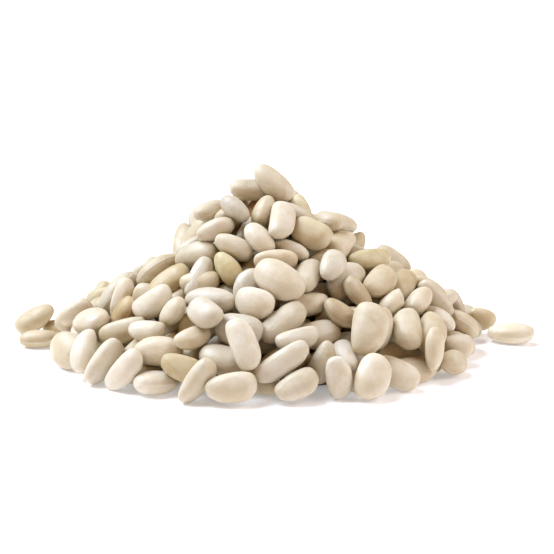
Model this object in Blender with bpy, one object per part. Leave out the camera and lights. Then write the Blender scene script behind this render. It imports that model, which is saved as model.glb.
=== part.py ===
"""A heap of dried white beans lying on a flat surface, with one bean apart from it.

Everything is in metres, +Z up. The origin is on the surface under the heap, +X runs
to the right in the front view, and the front faces -Y.

The beans are first settled: some are set where they stand out in the front view, the
rest are scattered, and all are pushed apart until they rest on each other. The outer
beans are then fused, with few sides, onto a solid core with a flat underside.
"""
import math
import random
from dataclasses import dataclass
from typing import NamedTuple

import bmesh
import bpy
import numpy as np
from mathutils import Vector
from mathutils.bvhtree import BVHTree

MM = 0.001

# A bean of middling size
BEAN_LENGTH = 15.0 * MM
BEAN_WIDTH = 8.9 * MM
BEAN_THICKNESS = 6.7 * MM
BLUNTNESS = 2.35                      # 2 is an ellipsoid, more has blunter ends
BEND = (0.3 * MM, 1.1 * MM)           # least and most that a bean's ends curve aside
SIZE_SPREAD = 0.09                    # of one bean's size, as a share of the middling one
SIZE_LIMITS = (0.80, 1.20)
FORM_SPREAD = 0.07                    # of length, width and thickness against each other

# The mound that the heap fills, a cone with a rounded tip
HEAP_HEIGHT = 60.0 * MM
LEFT_REACH = 77.0 * MM                # where its slope would meet the floor on the left,
RIGHT_REACH = 84.0 * MM               # on the right,
DEEP_REACH = 75.0 * MM                # and at the front and back
APEX = (-1.5 * MM, 0.0)
TIP_ROUNDING = 0.05
HOLLOWS = (                           # middle, radius and depth of each shallow hollow
    (-36.0 * MM, 2.0 * MM, 13.0 * MM, 5.0 * MM),    # in the left flank
    (24.0 * MM, 4.0 * MM, 11.0 * MM, 4.5 * MM),     # in the right shoulder
)
INNER_SHARE = 0.70                    # the beans lie on a mound of this share of the heap
FOOT = 0.80                           # how far out beans are scattered, as a share
FOOT_WAVE = 0.045

# How the beans are scattered and settled
SEED = 7
SPACING = 7.7 * MM                    # least distance between the middles of two beans
SHELL = (0.45, 2.3)                   # depths of the middles, in thicknesses of a bean
LOWEST_MIDDLE = 0.45 * BEAN_THICKNESS
OVER_INNER = 0.30 * BEAN_THICKNESS    # least height of a middle over the inner mound
TILT_SPREAD = (0.35, 0.35, 0.25)
SEEN_FREEDOM = 0.35                   # how easily a bean that was seen is pushed aside
ROUNDS = ((16000, 160, 0.12 * MM), (9000, 80, 0.03 * MM))   # tries, steps, pull of a step
FALL = 0.25 * MM                      # a step of a bean that touches nothing
DOWNWARD = 0.4                        # share of the pull that is straight down
PAIR_STEPS = 8                        # steps between two looks for neighbours
NEAR = 1.0 * MM                       # gap within which two beans are neighbours
TOUCH_POINTS = 40                     # points of a bean's surface that feel for others
OVER_PUSH = 1.3
MOST_TURN = 0.12                      # of one step, in radians
EASE_SHARE = 0.8                      # the pull fades out over this share of the steps
DECIMALS = 7                          # places are rounded to a tenth of a micrometre
GROUND = -1

# The solids
BEAN_SIDES = 7                        # round a bean
BEAN_RINGS = 4                        # along a bean
BEAN_FULLNESS = 1.03                  # its corners stand out, so that its flats lie less deep
OUTER_DEPTH = 1.0                     # beans no deeper than this many thicknesses show
SEAT_DEPTH = 0.7 * MM                 # least depth to which a fused bean enters its seat
CORE_FOOT = 0.72                      # least reach of the core's edge, as a share
CORE_RINGS = 6
CORE_SPOKES = 34
CORE_EDGE = (1.0 * MM, 3.0 * MM)      # least and greatest height of the core's edge
EDGE_RING = 1 - 0.5 / CORE_RINGS      # only the core's edge is further out, as a share
TIP_RING = 0.5 / CORE_RINGS           # only the core's middle is further in
CORE_BLEND = 7.0 * MM                 # beans about this near set the core's height
CORE_DROP = 1.8 * MM                  # how far under their middles the core's top lies
CORE_TIP = 2.5 * MM                   # how much higher it stands under the topmost bean
RIM_HEIGHT = 1.2                      # a rim bean lies no higher, in thicknesses
RIM_INSET = 1.0 * MM                  # how far short of a rim bean's middle the core ends
RIM_ROUND = 8.0 * MM                  # radius of the core's edge round a rim bean
FLOOR_GAP = 0.05 * MM

# The front view: a square of 554 pixels, taken from a little above
VIEW_AIM = (3.0 * MM, 0.0, 22.6 * MM)
VIEW_DISTANCE = 456.0 * MM
VIEW_RISE = math.radians(12.5)
VIEW_FOCAL_PX = 1415.0
VIEW_MIDDLE_PX = 277.0
VIEW_DEPTHS = (0.7, 1.3)              # nearest and furthest bean, in view distances
VIEW_STEP = 0.2 * MM
BEHIND_APEX = 12.0 * MM               # beans in the view lie no further back than this
FACING = 0.4                          # how far a seen bean's flat side turns to the view
FLAT_FOOT = 6.0 * MM                  # where the mound is lower, beans lie nearly flat
FOOT_NORMAL = (0.0, -0.25, 0.97)
SEEN_LENGTH = (12.0 * MM, 18.5 * MM)
SEEN_WIDTH = 11.5 * MM
ON_EDGE_WIDTH = 7.2 * MM              # a bean that looks narrower lies on its edge
LEAST_THICKNESS = 5.6 * MM
THICKNESS_SHARE = 0.75                # of a bean's width

BEAN_COLOUR = (0.72, 0.64, 0.50, 1.0)
BEAN_ROUGHNESS = 0.45
SHARP_EDGE = math.radians(50)


class Seen(NamedTuple):
    """A bean that stands out in the front view.

    The middle, the length and the width are in pixels of the view, the heading of the
    long axis is in degrees up from level, and proud is how far the bean stands out of
    the mound, in millimetres.
    """

    across: float
    down: float
    heading: float
    long: float
    wide: float
    proud: float


LOOSE = (
    Seen(517, 333, -15, 47, 27, 0),
)

FRONT_ROW = (
    Seen(32, 337, 3, 42, 24, 0),
    Seen(82, 343, -16, 46, 37, 0),
    Seen(101, 361, 62, 52, 24, 1),
    Seen(135, 364, 30, 56, 27, 0),
    Seen(195, 378, 71, 50, 24, 1),
    Seen(229, 382, 10, 54, 33, 0),
    Seen(294, 378, 15, 48, 30, 0),
    Seen(335, 370, 109, 43, 29, 1),
    Seen(368, 374, 79, 47, 37, 1.5),
    Seen(400, 362, -35, 50, 31, 0),
    Seen(418, 341, 79, 40, 17, 0),
    Seen(444, 349, 7, 34, 28, 0),
    Seen(451, 330, -4, 33, 29, 1),
)

LEFT_FLANK = (
    Seen(28, 296, 20, 42, 25, 4),
    Seen(46, 305, -11, 38, 22, 4),
    Seen(79, 312, 48, 36, 22, 3),
    Seen(103, 295, 61, 34, 25, 0),
    Seen(130, 297, 95, 36, 24, 0),
    Seen(98, 286, 9, 36, 20, -1),
    Seen(156, 299, 17, 48, 28, 1),
    Seen(121, 324, 12, 51, 27, 1),
    Seen(155, 329, 21, 36, 26, 0),
    Seen(178, 311, 24, 40, 26, 0),
    Seen(199, 279, 30, 42, 25, 0),
    Seen(198, 268, 53, 48, 24, 1),
    Seen(140, 265, 46, 36, 22, -1),
    Seen(150, 265, 41, 33, 20, 0),
)

FACE = (
    Seen(186, 359, -25, 42, 27, -1),
    Seen(195, 334, 35, 42, 25, 1),
    Seen(209, 317, -42, 38, 32, 2.5),
    Seen(241, 340, 93, 53, 30, 3),
    Seen(259, 301, 0, 43, 34, 1.5),
    Seen(275, 289, -35, 58, 42, 2),
    Seen(226, 266, -46, 29, 22, -1),
    Seen(278, 314, 23, 55, 30, 0),
    Seen(297, 335, 22, 46, 26, 2),
    Seen(283, 360, 42, 64, 27, 2),
    Seen(327, 358, 53, 44, 27, -1),
    Seen(335, 315, -5, 41, 25, 0),
    Seen(351, 289, -44, 41, 24, 0),
    Seen(332, 270, 56, 31, 27, 2),
    Seen(363, 331, 49, 51, 38, 1.5),
    Seen(277, 260, 27, 46, 22, -1),
    Seen(292, 248, -62, 30, 18, 0),
)

CREST = (
    Seen(272, 183, -58, 46, 28, 3),
    Seen(250, 184, 10, 42, 24, 1),
    Seen(295, 208, -60, 34, 20, -3),
    Seen(265, 213, 66, 34, 22, -1),
    Seen(241, 211, -17, 28, 21, 1),
    Seen(282, 226, 88, 44, 29, 3),
    Seen(252, 241, -50, 32, 28, 2),
    Seen(312, 232, -43, 42, 34, 1),
    Seen(209, 216, 50, 42, 24, 0),
    Seen(218, 235, 29, 41, 22, 1),
    Seen(187, 235, 115, 32, 22, -1),
    Seen(231, 253, -3, 42, 22, 0),
    Seen(341, 218, 7, 34, 22, -1),
    Seen(349, 239, 17, 43, 24, 1),
)

RIGHT_FLANK = (
    Seen(364, 263, 41, 42, 24, 0),
    Seen(376, 283, 42, 46, 30, 0),
    Seen(392, 264, -38, 42, 26, -1),
    Seen(389, 299, 48, 30, 20, 0),
    Seen(408, 299, 34, 34, 22, 0),
    Seen(416, 286, -16, 40, 22, 0),
    Seen(427, 301, -64, 44, 20, 0),
    Seen(453, 299, -41, 36, 19, 0),
    Seen(461, 314, -15, 41, 26, 0),
    Seen(473, 307, -19, 30, 20, -1),
    Seen(401, 326, -71, 48, 31, 1),
)

SEEN_BEANS = LOOSE + FRONT_ROW + LEFT_FLANK + FACE + CREST + RIGHT_FLANK


def side_reach(x: np.ndarray) -> np.ndarray:
    """The mound's reach to the left or to the right, by the sign of x."""
    return np.where(x < 0, LEFT_REACH, RIGHT_REACH)


def mound(x: np.ndarray, y: np.ndarray, share: float) -> tuple[np.ndarray, np.ndarray]:
    """Height over the floor, and outward normal, of the mound scaled by a share."""
    reach_x = side_reach(x - APEX[0]) * share
    reach_y = DEEP_REACH * share
    across = (x - APEX[0]) / reach_x
    along = (y - APEX[1]) / reach_y
    out = np.sqrt(across**2 + along**2 + TIP_ROUNDING**2)
    slope = HEAP_HEIGHT * share / out
    normal = np.stack([slope * across / reach_x, slope * along / reach_y, np.ones_like(out)], -1)
    normal /= np.linalg.norm(normal, axis=-1, keepdims=True)
    height = HEAP_HEIGHT * share * (1 - out)
    for middle_x, middle_y, radius, depth in HOLLOWS:
        away = ((x - middle_x) ** 2 + (y - middle_y) ** 2) / radius**2
        height = height - depth * np.exp(-away)
    return height, normal


def spiral_points(count: int) -> np.ndarray:
    """Points spread evenly over a sphere of radius 1, along a spiral."""
    step = np.arange(count) + 0.5
    polar = np.arccos(1 - 2 * step / count)
    turn = math.pi * (1 + math.sqrt(5)) * step
    return np.stack([np.cos(polar), np.sin(polar) * np.cos(turn), np.sin(polar) * np.sin(turn)], -1)


def bean_surface(unit: np.ndarray, half: np.ndarray, bend: np.ndarray) -> np.ndarray:
    """Points of a unit sphere moved to the surface of each bean, in the bean's own axes."""
    girth = np.sqrt(np.maximum(1 - unit[:, 0] ** 2, 1e-12))
    along = np.sign(unit[:, 0]) * np.abs(unit[:, 0]) ** (2 / BLUNTNESS)
    fuller = girth ** (2 / BLUNTNESS) / girth
    x = half[:, None, 0] * along
    y = half[:, None, 1] * fuller * unit[:, 1] + bend[:, None] * (along**2 - 1 / 3)
    z = half[:, None, 2] * fuller * unit[:, 2]
    return np.stack([x, y, z], -1)


def bean_depth(local: np.ndarray, half: np.ndarray, bend: np.ndarray) -> tuple[np.ndarray, np.ndarray]:
    """How deep points lie in a bean, and the way out, both in the bean's own axes."""
    x = local[:, 0] / half[:, 0]
    y = (local[:, 1] - bend * (x**2 - 1 / 3)) / half[:, 1]
    z = local[:, 2] / half[:, 2]
    girth = np.sqrt(y**2 + z**2 + 1e-12)
    along = np.abs(x) + 1e-9
    size = (along**BLUNTNESS + girth**BLUNTNESS) ** (1 / BLUNTNESS)
    rise_x = (along / size) ** (BLUNTNESS - 1) * np.sign(x) / half[:, 0]
    rise_out = (girth / size) ** (BLUNTNESS - 1) / girth
    rise = np.stack([rise_x, rise_out * y / half[:, 1], rise_out * z / half[:, 2]], -1)
    steepness = np.linalg.norm(rise, axis=1)
    return (1 - size) / steepness, rise / steepness[:, None]


def axes_of(along: np.ndarray, face: np.ndarray) -> np.ndarray:
    """A bean's axes as columns, from its long axis and the way its flat side faces."""
    face = face / np.linalg.norm(face)
    along = along - face * (along @ face)
    along = along / np.linalg.norm(along)
    return np.stack([along, np.cross(face, along), face], -1)


@dataclass
class Beans:
    """Beans that lie in a pile, one row each.

    Turn holds each bean's length, width and thickness axes as columns, half is half of
    those sizes, bend is how far the ends curve aside, and freedom is 1 for a bean that
    is easily pushed aside and less for one that keeps its place.
    """

    centre: np.ndarray
    turn: np.ndarray
    half: np.ndarray
    bend: np.ndarray
    freedom: np.ndarray

    def surface(self, unit: np.ndarray) -> np.ndarray:
        """Points of a unit sphere moved to the surface of every bean."""
        local = bean_surface(unit, self.half, self.bend)
        return self.centre[:, None] + np.einsum("nij,nkj->nki", self.turn, local)

    def depth_in_heap(self) -> np.ndarray:
        """How far each middle lies under the mound, in thicknesses of a bean."""
        height, normal = mound(self.centre[:, 0], self.centre[:, 1], 1.0)
        return (height - self.centre[:, 2]) * normal[:, 2] / BEAN_THICKNESS


def seen_bean(seen: Seen) -> tuple[np.ndarray, np.ndarray, np.ndarray]:
    """Middle, axes and half sizes of a bean from its place in the front view."""
    ahead = np.array([0.0, math.cos(VIEW_RISE), -math.sin(VIEW_RISE)])
    right = np.array([1.0, 0.0, 0.0])
    up = np.cross(right, ahead)
    ray = (ahead + right * (seen.across - VIEW_MIDDLE_PX) / VIEW_FOCAL_PX
           + up * (VIEW_MIDDLE_PX - seen.down) / VIEW_FOCAL_PX)
    nearest, furthest = (share * VIEW_DISTANCE for share in VIEW_DEPTHS)
    reach = np.arange(nearest, furthest, VIEW_STEP)
    points = np.array(VIEW_AIM) - ahead * VIEW_DISTANCE + ray * reach[:, None]
    reach = reach[points[:, 1] < BEHIND_APEX]
    points = points[points[:, 1] < BEHIND_APEX]

    proud = seen.proud * MM
    height, normals = mound(points[:, 0], points[:, 1], 1.0)
    on_mound = height - (BEAN_THICKNESS / 2 - proud) / normals[:, 2]
    clear = points[:, 2] - np.maximum(on_mound, BEAN_THICKNESS / 2 + proud)
    inside = np.nonzero(clear < 0)[0]
    first = inside[0] if len(inside) else int(np.argmin(clear))
    normal = normals[first]
    if height[first] < FLAT_FOOT:
        normal = np.array(FOOT_NORMAL)

    face = normal * (1 - FACING) - ahead * FACING
    face /= np.linalg.norm(face)
    heading = math.radians(seen.heading)
    along = right * math.cos(heading) + up * math.sin(heading)
    along = along - ahead * ((face @ along) / (face @ ahead))
    size_of_pixel = reach[first] / VIEW_FOCAL_PX
    length = seen.long * size_of_pixel * np.linalg.norm(along)
    length = min(max(length, SEEN_LENGTH[0]), SEEN_LENGTH[1])
    width = min(seen.wide * size_of_pixel, SEEN_WIDTH)
    thickness = width * THICKNESS_SHARE
    if width < ON_EDGE_WIDTH:
        thickness = max(width, LEAST_THICKNESS)
        width = thickness / THICKNESS_SHARE
        face = np.cross(along, face)
    return points[first], axes_of(along, face), np.array([length, width, thickness]) / 2


def filler_bean(rng: random.Random, waves: list[float]) -> tuple[np.ndarray, np.ndarray, np.ndarray]:
    """Middle, axes and half sizes of a bean dropped anywhere in the heap's outer shell."""
    angle = rng.uniform(0, math.tau)
    wave = (math.sin(3 * angle + waves[0]) + math.sin(5 * angle + waves[1])) / 2
    out = (FOOT + FOOT_WAVE * wave) * math.sqrt(rng.random())
    x = APEX[0] + float(side_reach(math.cos(angle))) * out * math.cos(angle)
    y = APEX[1] + DEEP_REACH * out * math.sin(angle)
    height, normal = mound(np.array(x), np.array(y), 1.0)
    centre = np.array([x, y, float(height)]) - normal * rng.uniform(*SHELL) * BEAN_THICKNESS

    size = min(max(rng.gauss(1, SIZE_SPREAD), SIZE_LIMITS[0]), SIZE_LIMITS[1])
    form = [size * rng.uniform(1 - FORM_SPREAD, 1 + FORM_SPREAD) for _ in range(3)]
    half = np.array([BEAN_LENGTH, BEAN_WIDTH, BEAN_THICKNESS]) / 2 * np.array(form)
    face = normal + np.array([rng.gauss(0, spread) for spread in TILT_SPREAD])
    heading = rng.uniform(0, math.tau)
    along = np.array([math.cos(heading), math.sin(heading), 0.0])
    return centre, axes_of(along, face), half


def scatter(beans: Beans, rng: random.Random, tries: int) -> Beans:
    """The beans with fillers added wherever there is room for one."""
    centre, turn, half = list(beans.centre), list(beans.turn), list(beans.half)
    bend, freedom = list(beans.bend), list(beans.freedom)
    waves = [rng.uniform(0, math.tau) for _ in range(2)]
    for _ in range(tries):
        place, axes, sizes = filler_bean(rng, waves)
        inner = mound(place[0], place[1], INNER_SHARE)[0]
        if place[2] < max(LOWEST_MIDDLE, inner + OVER_INNER):
            continue
        if np.linalg.norm(np.array(centre) - place, axis=1).min() < SPACING:
            continue
        centre.append(place)
        turn.append(axes)
        half.append(sizes)
        bend.append(rng.uniform(*BEND))
        freedom.append(1.0)
    return Beans(np.array(centre), np.array(turn), np.array(half), np.array(bend), np.array(freedom))


class Contacts(NamedTuple):
    """Points of one bean, the owner, that lie in another bean or in the ground."""

    owner: np.ndarray
    other: np.ndarray
    depth: np.ndarray
    way: np.ndarray
    at: np.ndarray


def near_pairs(beans: Beans) -> tuple[np.ndarray, np.ndarray]:
    """Pairs of beans that are near enough to touch within a few steps."""
    gap = np.linalg.norm(beans.centre[:, None] - beans.centre[None], axis=2)
    length = beans.half[:, 0]
    return np.nonzero((gap < length[:, None] + length[None] + NEAR) & (gap > 0))


def bean_contacts(beans: Beans, world: np.ndarray, pairs: tuple[np.ndarray, np.ndarray]) -> Contacts:
    """Surface points of beans that lie in a neighbour."""
    owner, other = pairs
    local = np.einsum("pki,pij->pkj", world[owner] - beans.centre[other][:, None], beans.turn[other])
    reach = beans.half[other][:, None] + np.array([0.0, BEND[1], 0.0])
    pair, point = np.nonzero((np.abs(local) < reach).all(2))
    owner, other = owner[pair], other[pair]
    depth, way = bean_depth(local[pair, point], beans.half[other], beans.bend[other])
    way = np.einsum("pij,pj->pi", beans.turn[other], way)
    hit = depth > 0
    return Contacts(owner[hit], other[hit], depth[hit], way[hit], world[owner, point][hit])


def ground_contacts(world: np.ndarray) -> Contacts:
    """Surface points of beans that lie in the inner mound or under the floor."""
    height, normal = mound(world[..., 0], world[..., 1], INNER_SHARE)
    in_mound = (height - world[..., 2]) * normal[..., 2]
    bean, point = np.nonzero(in_mound > 0)
    low_bean, low_point = np.nonzero(world[..., 2] < 0)
    owner = np.concatenate([bean, low_bean])
    depth = np.concatenate([in_mound[bean, point], -world[low_bean, low_point, 2]])
    way = np.concatenate([normal[bean, point], np.tile([0.0, 0.0, 1.0], (len(low_bean), 1))])
    at = np.concatenate([world[bean, point], world[low_bean, low_point]])
    return Contacts(owner, np.full(len(owner), GROUND), depth, way, at)


def summed(who: np.ndarray, values: np.ndarray, count: int) -> np.ndarray:
    """Rows of values added up for each bean."""
    return np.stack([np.bincount(who, column, count) for column in values.T], -1)


def turned(turn: np.ndarray, spin: np.ndarray) -> np.ndarray:
    """Axes turned by small rotation vectors, and kept square to each other."""
    angle = np.linalg.norm(spin, axis=1, keepdims=True)
    pivot = spin / np.maximum(angle, 1e-12)
    cos, sin = np.cos(angle), np.sin(angle)
    columns = []
    for column in (turn[:, :, 0], turn[:, :, 1]):
        along = (pivot * column).sum(1, keepdims=True)
        columns.append(column * cos + np.cross(pivot, column) * sin + pivot * along * (1 - cos))
    long, wide = columns
    long = long / np.linalg.norm(long, axis=1, keepdims=True)
    wide = wide - long * (long * wide).sum(1, keepdims=True)
    wide = wide / np.linalg.norm(wide, axis=1, keepdims=True)
    return np.stack([long, wide, np.cross(long, wide)], -1)


def push_apart(beans: Beans, contacts: Contacts) -> np.ndarray:
    """Move and turn each bean by the mean of what its contacts ask, deep ones the most.

    Returns which beans touch anything.
    """
    count = len(beans.centre)
    squares = beans.half**2
    inertia = (squares.sum(1, keepdims=True) - squares) / 5
    among = contacts.other != GROUND
    sides = []
    give = np.zeros(len(among))
    for who, sign, real in ((contacts.owner, 1.0, np.ones(len(among))),
                            (np.where(among, contacts.other, 0), -1.0, among.astype(float))):
        moment = np.cross(contacts.at - beans.centre[who], contacts.way)
        eased = np.einsum("pij,pi->pj", beans.turn[who], moment) / inertia[who]
        spin = np.einsum("pij,pj->pi", beans.turn[who], eased)
        ease = beans.freedom[who] * real
        give += (1 + (moment * spin).sum(1)) * ease
        sides.append((who, sign * ease, spin, contacts.depth * real))

    move = np.zeros((count, 3))
    spins = np.zeros((count, 3))
    weight = np.full(count, 1e-12)
    for who, ease, spin, depth in sides:
        amount = (contacts.depth / give * ease * depth)[:, None]
        move += summed(who, contacts.way * amount, count)
        spins += summed(who, spin * amount, count)
        weight += np.bincount(who, depth, count)
    move *= OVER_PUSH / weight[:, None]
    spins *= OVER_PUSH / weight[:, None]
    size = np.linalg.norm(spins, axis=1, keepdims=True)
    spins *= np.minimum(1, MOST_TURN / np.maximum(size, 1e-9))
    beans.centre = np.round(beans.centre + move, DECIMALS)
    beans.turn = np.round(turned(beans.turn, spins), DECIMALS)
    return weight > 1e-9


def settle(beans: Beans, steps: int, pull: float) -> None:
    """Draw the beans down onto the heap and push them apart until they rest."""
    unit = spiral_points(TOUCH_POINTS)
    held = np.ones(len(beans.centre), bool)
    pairs = near_pairs(beans)
    for step in range(steps):
        normal = mound(beans.centre[:, 0], beans.centre[:, 1], 1.0)[1]
        inward = normal * (1 - DOWNWARD) + np.array([0.0, 0.0, DOWNWARD])
        inward /= np.linalg.norm(inward, axis=1, keepdims=True)
        ease = max(0.0, 1 - step / (EASE_SHARE * steps))
        drop = np.where(held, pull * ease * beans.freedom, FALL)
        beans.centre = beans.centre - inward * drop[:, None]
        if step % PAIR_STEPS == 0:
            pairs = near_pairs(beans)
        world = beans.surface(unit)
        found = zip(bean_contacts(beans, world, pairs), ground_contacts(world))
        held = push_apart(beans, Contacts(*(np.concatenate(both) for both in found)))


def settled_heap() -> Beans:
    """All the beans at rest, the loose ones first."""
    rng = random.Random(SEED)
    centre, turn, half = map(np.array, zip(*map(seen_bean, SEEN_BEANS)))
    bend = np.array([rng.uniform(*BEND) for _ in SEEN_BEANS])
    beans = Beans(centre, turn, half, bend, np.full(len(SEEN_BEANS), SEEN_FREEDOM))
    for tries, steps, pull in ROUNDS:
        beans = scatter(beans, rng, tries)
        settle(beans, steps, pull)
    return beans


def bean_mesh(beans: Beans, index: int, seats: list[BVHTree]) -> bmesh.types.BMesh:
    """A few-sided bean that stays over the floor, and enters the nearest seat if it has any."""
    bm = bmesh.new()
    bmesh.ops.create_uvsphere(bm, u_segments=BEAN_SIDES, v_segments=BEAN_RINGS, radius=1.0)
    unit = np.array([(vert.co.z, vert.co.x, vert.co.y) for vert in bm.verts])
    points = beans.surface(unit)[index]
    points = points + (points - beans.centre[index]) * (BEAN_FULLNESS - 1)
    floor = 0.0
    if seats:
        points = points + min((way_into(seat, points) for seat in seats), key=np.linalg.norm)
        floor = FLOOR_GAP
    points[:, 2] += max(0.0, floor - points[:, 2].min())
    for vert, point in zip(bm.verts, points):
        vert.co = point
    bm.normal_update()
    return bm


def way_into(seat: BVHTree, points: np.ndarray) -> np.ndarray:
    """The shortest move that brings one of the points to its least depth in a seat."""
    near = [seat.find_nearest(Vector(point))[:2] for point in points]
    depths = [(place - Vector(point)) @ normal for (place, normal), point in zip(near, points)]
    deepest = int(np.argmax(depths))
    return -np.array(near[deepest][1]) * max(0.0, SEAT_DEPTH - depths[deepest])


def seated_beans(beans: Beans, which: list[int], core: BVHTree) -> list[bpy.types.Object]:
    """The given beans, lowest first, each seated in the core or in a bean under it."""
    seats = [core]
    seated = []
    for index in sorted(which, key=lambda index: beans.centre[index, 2]):
        bm = bean_mesh(beans, index, seats)
        seats.append(BVHTree.FromBMesh(bm))
        seated.append(new_object(f"bean_{index}", bm))
    return seated


def new_object(name: str, bm: bmesh.types.BMesh) -> bpy.types.Object:
    """An object in the scene with the given mesh, which is used up."""
    mesh = bpy.data.meshes.new(name)
    bm.to_mesh(mesh)
    bm.free()
    piece = bpy.data.objects.new(name, mesh)
    bpy.context.scene.collection.objects.link(piece)
    return piece


def core_height(x: float, y: float, held: np.ndarray) -> float:
    """Height of the core's top, just under the middles of the beans about there."""
    away = np.hypot(held[:, 0] - x, held[:, 1] - y) / CORE_BLEND
    weight = np.exp(-(away**2)) + 1e-9
    lower = mound(held[:, 0], held[:, 1], 1.0)[0] - held[:, 2]
    height = mound(x, y, 1.0)[0] - (lower @ weight) / weight.sum() - CORE_DROP
    return max(float(height), CORE_EDGE[0])


def core_rim(angle: float, rim_beans: np.ndarray) -> float:
    """Distance of the core's edge from the apex, drawn out round each bean at the foot."""
    along = rim_beans @ np.array([math.cos(angle), math.sin(angle)])
    aside = rim_beans @ np.array([-math.sin(angle), math.cos(angle)])
    rounded = along - RIM_INSET - aside**2 / RIM_ROUND
    reach_x = float(side_reach(math.cos(angle)))
    foot = math.hypot(math.cos(angle) / reach_x, math.sin(angle) / DEEP_REACH)
    return max(CORE_FOOT / foot, float(rounded[along > 0].max()))


def core_object(name: str, held: np.ndarray) -> bpy.types.Object:
    """The solid inside of the heap, a turned dome raised and drawn out to its beans."""
    bm = bmesh.new()
    profile = [bm.verts.new((ring / CORE_RINGS, 0, 1)) for ring in range(CORE_RINGS + 1)]
    profile.append(bm.verts.new((1, 0, 0)))
    profile.append(bm.verts.new((0, 0, 0)))
    edges = [bm.edges.new(ends) for ends in zip(profile, profile[1:])]
    bmesh.ops.spin(bm, geom=profile + edges, cent=(0, 0, 0), axis=(0, 0, 1),
                   angle=math.tau, steps=CORE_SPOKES, use_merge=True)
    bmesh.ops.remove_doubles(bm, verts=bm.verts, dist=0.001)
    bmesh.ops.recalc_face_normals(bm, faces=bm.faces)

    low = held[:, 2] < RIM_HEIGHT * BEAN_THICKNESS
    rim_beans = held[low, :2] - np.array(APEX)
    for vert in bm.verts:
        rim = core_rim(math.atan2(vert.co.y, vert.co.x), rim_beans)
        x = APEX[0] + vert.co.x * rim
        y = APEX[1] + vert.co.y * rim
        height = core_height(x, y, held)
        out = math.hypot(vert.co.x, vert.co.y)
        if out > EDGE_RING:
            height = min(height, CORE_EDGE[1])
        elif out < TIP_RING:
            height += CORE_TIP
        vert.co = (x, y, vert.co.z * height)
    bmesh.ops.triangulate(bm, faces=bm.faces)
    return new_object(name, bm)


def fuse(core: bpy.types.Object, parts: list[bpy.types.Object]) -> None:
    """Join the parts onto the core in one solid, and remove them."""
    group = bpy.data.collections.new("fused")
    bpy.context.scene.collection.children.link(group)
    for part in parts:
        group.objects.link(part)
    union = core.modifiers.new("union", "BOOLEAN")
    union.operation = "UNION"
    union.operand_type = "COLLECTION"
    union.collection = group
    union.solver = "EXACT"
    evaluated = core.evaluated_get(bpy.context.evaluated_depsgraph_get())
    fused = bpy.data.meshes.new_from_object(evaluated)
    core.modifiers.clear()
    core.data = fused
    for part in parts:
        bpy.data.objects.remove(part)
    bpy.data.collections.remove(group)


def keep_outer_shell(mesh: bpy.types.Mesh) -> None:
    """Drop every shell but the largest: sealed hollows are filled and scraps removed."""
    bm = bmesh.new()
    bm.from_mesh(mesh)
    left = set(bm.faces)
    shells = []
    while left:
        front = [left.pop()]
        shell = list(front)
        while front:
            face = front.pop()
            touching = {near for edge in face.edges for near in edge.link_faces} & left
            left -= touching
            front.extend(touching)
            shell.extend(touching)
        shells.append(shell)
    shells.sort(key=len)
    for shell in shells[:-1]:
        bmesh.ops.delete(bm, geom=shell, context="FACES")
    bm.to_mesh(mesh)
    bm.free()


def bean_skin() -> bpy.types.Material:
    """The satin ivory skin of the beans."""
    material = bpy.data.materials.new("bean_skin")
    material.use_nodes = True
    shader = material.node_tree.nodes["Principled BSDF"]
    shader.inputs["Base Color"].default_value = BEAN_COLOUR
    shader.inputs["Roughness"].default_value = BEAN_ROUGHNESS
    shader.inputs["Metallic"].default_value = 0.0
    return material


def main() -> None:
    """Build the heap and the bean beside it."""
    for piece in list(bpy.data.objects):
        bpy.data.objects.remove(piece)

    beans = settled_heap()
    outer = np.nonzero(beans.depth_in_heap() < OUTER_DEPTH)[0]
    fused = [index for index in outer if index >= len(LOOSE)]
    heap = core_object("bean_heap", beans.centre[fused])
    core = BVHTree.FromObject(heap, bpy.context.evaluated_depsgraph_get())
    fuse(heap, seated_beans(beans, fused, core))
    keep_outer_shell(heap.data)
    loose = [new_object("loose_bean", bean_mesh(beans, index, [])) for index in range(len(LOOSE))]

    skin = bean_skin()
    for piece in [heap, *loose]:
        piece.data.materials.clear()
        piece.data.materials.append(skin)
        piece.data.shade_smooth()
        piece.data.set_sharp_from_angle(angle=SHARP_EDGE)


main()
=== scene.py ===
"""A heap of dried white beans on a pale floor, every bean a smooth form of its true size.

Everything is in metres, +Z up. The origin is on the floor under the heap, +X runs to the
right in the front view, and the front faces -Y. The beans are settled by the same rule
and the same seed as the solids, so each one lies where the solid heap has it.
"""
import logging
import math
import random
from dataclasses import dataclass, field
from enum import Enum
from typing import NamedTuple

import bmesh
import bpy
import numpy as np
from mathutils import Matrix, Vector


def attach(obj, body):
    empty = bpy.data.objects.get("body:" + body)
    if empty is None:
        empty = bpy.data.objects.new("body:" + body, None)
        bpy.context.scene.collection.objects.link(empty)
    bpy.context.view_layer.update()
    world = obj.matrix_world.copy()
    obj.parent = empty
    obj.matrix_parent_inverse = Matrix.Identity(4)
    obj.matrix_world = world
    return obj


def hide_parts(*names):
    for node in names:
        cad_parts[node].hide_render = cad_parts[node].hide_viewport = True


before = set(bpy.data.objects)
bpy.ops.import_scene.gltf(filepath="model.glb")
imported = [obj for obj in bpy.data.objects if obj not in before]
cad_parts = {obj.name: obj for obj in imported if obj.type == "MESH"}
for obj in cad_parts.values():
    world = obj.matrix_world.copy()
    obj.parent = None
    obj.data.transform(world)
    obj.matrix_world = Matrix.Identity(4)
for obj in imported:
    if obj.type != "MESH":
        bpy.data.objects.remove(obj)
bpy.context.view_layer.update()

MM = 0.001
BODY = "root"
TINY = 1e-12      # keeps a root and a division clear of zero
SLIGHT = 1e-9     # the least amount that still counts

log = logging.getLogger("heap_of_beans")

Pairs = tuple[np.ndarray, np.ndarray]
Placed = tuple[np.ndarray, np.ndarray, np.ndarray]


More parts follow.
